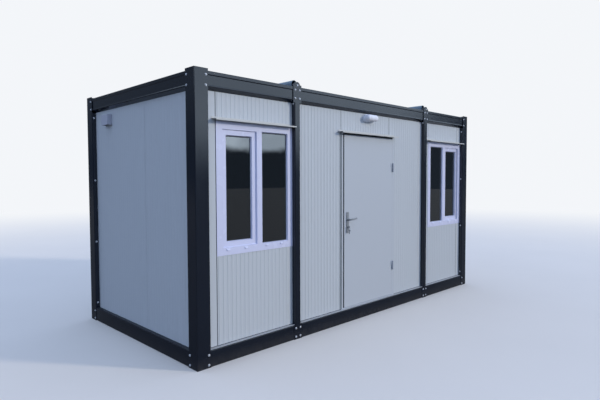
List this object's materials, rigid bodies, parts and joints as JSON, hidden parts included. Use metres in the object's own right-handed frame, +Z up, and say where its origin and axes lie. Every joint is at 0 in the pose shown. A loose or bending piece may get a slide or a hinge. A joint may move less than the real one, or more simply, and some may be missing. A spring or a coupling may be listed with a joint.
{
  "type": "portable site cabin",
  "caption": "Portable site cabin with a bolted dark steel frame, white sandwich panel walls, two windows and a steel door that opens outwards.",
  "frame": {"origin": "on the ground, at the middle of the frame's footprint", "axes": "+X to the right along the front, as seen from outside in front of the door; +Y from the front to the back; +Z up"},
  "size_m": [4.707, 2.243, 2.5529],
  "materials": {
    "frame_steel": "satin",
    "wall_panel": "satin",
    "door_paint": "satin",
    "window_plastic": "gloss",
    "window_glass": "gloss",
    "floor_board": "matte",
    "joist_steel": "satin",
    "strip_zinc": "satin",
    "roof_sheet": "satin",
    "cap_white": "satin",
    "handle_silver": "satin",
    "hinge_dark": "satin",
    "lamp_body": "matte",
    "lamp_diffuser": "satin",
    "hood_plastic": "matte"
  },
  "bodies": {
    "cabin": {"corner_post_front_left": "frame_steel", "corner_post_front_right": "frame_steel", "corner_post_back_left": "frame_steel", "corner_post_back_right": "frame_steel", "mid_posts_front": "frame_steel", "mid_posts_back": "frame_steel", "bottom_beams_front": "frame_steel", "bottom_beams_back": "frame_steel", "bottom_beam_left": "frame_steel", "bottom_beam_right": "frame_steel", "top_beams_front": "frame_steel", "top_beams_back": "frame_steel", "top_beam_left": "frame_steel", "top_beam_right": "frame_steel", "roof_cross_beams": "frame_steel", "floor_joists": "joist_steel", "floor_deck": "floor_board", "sill_strips": "strip_zinc", "roof_panels": "roof_sheet", "roof_joint_caps": "roof_sheet", "wall_left_end": "wall_panel", "wall_right_end": "wall_panel", "wall_back_left": "wall_panel", "wall_back_middle": "wall_panel", "wall_back_right": "wall_panel", "wall_front_left": "wall_panel", "wall_beside_door_left": "wall_panel", "wall_over_door": "wall_panel", "wall_beside_door_right": "wall_panel", "wall_front_right": "wall_panel", "window_frame_left": "window_plastic", "window_frame_right": "window_plastic", "window_sash_left": "window_plastic", "window_sash_right": "window_plastic", "window_handles": "window_plastic", "window_glass": "window_glass", "door_frame": "door_paint", "hinge_frame_halves": "hinge_dark", "drip_caps": "cap_white", "lamp_base": "lamp_body", "lamp_cover": "lamp_diffuser", "vent_hood": "hood_plastic"},
    "door": {"door_leaf": "door_paint", "hinge_leaf_halves": "hinge_dark", "handle_plates": "handle_silver", "lock_and_keys": "handle_silver"},
    "lever": {"door_lever": "handle_silver"}
  },
  "joints": [
    {"name": "door", "type": "hinge", "parent": "cabin", "child": "door", "pos_m": [0.478, -1.072, 1.1], "axis": [0, 0, 1], "range_deg": [0, 150]},
    {"name": "lever", "type": "hinge", "parent": "door", "child": "lever", "pos_m": [-0.382, -1.038, 1.139], "axis": [0, 1, 0], "range_deg": [0, 40], "stiffness_Nm_per_rad": 2, "springref_deg": -20.05}
  ]
}
